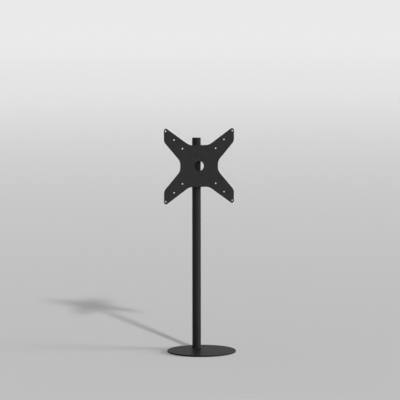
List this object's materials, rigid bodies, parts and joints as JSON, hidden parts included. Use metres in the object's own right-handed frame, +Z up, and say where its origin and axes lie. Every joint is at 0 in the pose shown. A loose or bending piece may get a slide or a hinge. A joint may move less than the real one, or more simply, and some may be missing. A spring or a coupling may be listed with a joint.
{
  "type": "television floor stand with mount",
  "caption": "Round-based floor stand: a tubular pole carries an X-shaped screen plate that slides in height and swivels, locked by a hand knob.",
  "frame": {"origin": "centre of the round foot, on the floor, under the felt pads", "axes": "+Z up along the pole, -Y towards the viewer of the screen, +X to the viewer's right"},
  "size_m": [0.42, 0.39, 1.2757],
  "materials": {
    "powder_coat": "fine-textured satin black powder coat",
    "cast_coat": "black coated casting",
    "black_steel": "black oxide",
    "zinc_steel": "bright zinc plate",
    "black_plastic": "moulded satin",
    "nylon": "moulded matt",
    "rubber": "soft matt",
    "felt": "pressed felt"
  },
  "bodies": {
    "stand": {"base_plate": "powder_coat", "floor_pad_1": "felt", "floor_pad_2": "felt", "floor_pad_3": "felt", "floor_pad_4": "felt", "floor_pad_5": "felt", "floor_pad_6": "felt", "pole": "powder_coat", "pole_cap": "black_plastic", "cable_grommet": "rubber", "foot_plug": "zinc_steel", "foot_screw_1": "black_steel", "foot_screw_2": "black_steel", "foot_screw_3": "black_steel"},
    "collar": {"height_collar": "cast_coat"},
    "shoe": {"brake_shoe": "nylon"},
    "knob": {"knob_stud": "zinc_steel", "clamp_knob": "black_plastic"},
    "mount": {"screen_plate": "powder_coat", "upper_guide_saddle": "cast_coat", "upper_guide_cap": "cast_coat", "upper_bush": "nylon", "upper_clamp_screw_left": "black_steel", "upper_clamp_screw_right": "black_steel", "upper_washer_left": "black_steel", "upper_washer_right": "black_steel", "upper_plate_screw_left": "black_steel", "upper_plate_screw_right": "black_steel", "lower_guide_saddle": "cast_coat", "lower_guide_cap": "cast_coat", "lower_bush": "nylon", "lower_clamp_screw_left": "black_steel", "lower_clamp_screw_right": "black_steel", "lower_washer_left": "black_steel", "lower_washer_right": "black_steel", "lower_plate_screw_left": "black_steel", "lower_plate_screw_right": "black_steel"}
  },
  "joints": [
    {"name": "mount_height", "type": "slide", "parent": "stand", "child": "collar", "axis": [0, 0, 1], "range_m": [-0.75, 0.05]},
    {"name": "mount_swivel", "type": "hinge", "parent": "collar", "child": "mount", "pos_m": [0, 0.093, 0.9842], "axis": [0, 0, 1], "range_deg": [-90, 90]},
    {"name": "shoe_release", "type": "slide", "parent": "collar", "child": "shoe", "axis": [0, 1, 0], "range_m": [0, 0.0025]},
    {"name": "knob_turn", "type": "hinge", "parent": "shoe", "child": "knob", "pos_m": [0, 0.1405, 0.9702], "axis": [0, 1, 0], "range_deg": [0, 720]}
  ],
  "couplings": [
    {"joint": "shoe_release", "follows": "knob_turn", "m_per_rad": 0.00019894}
  ]
}
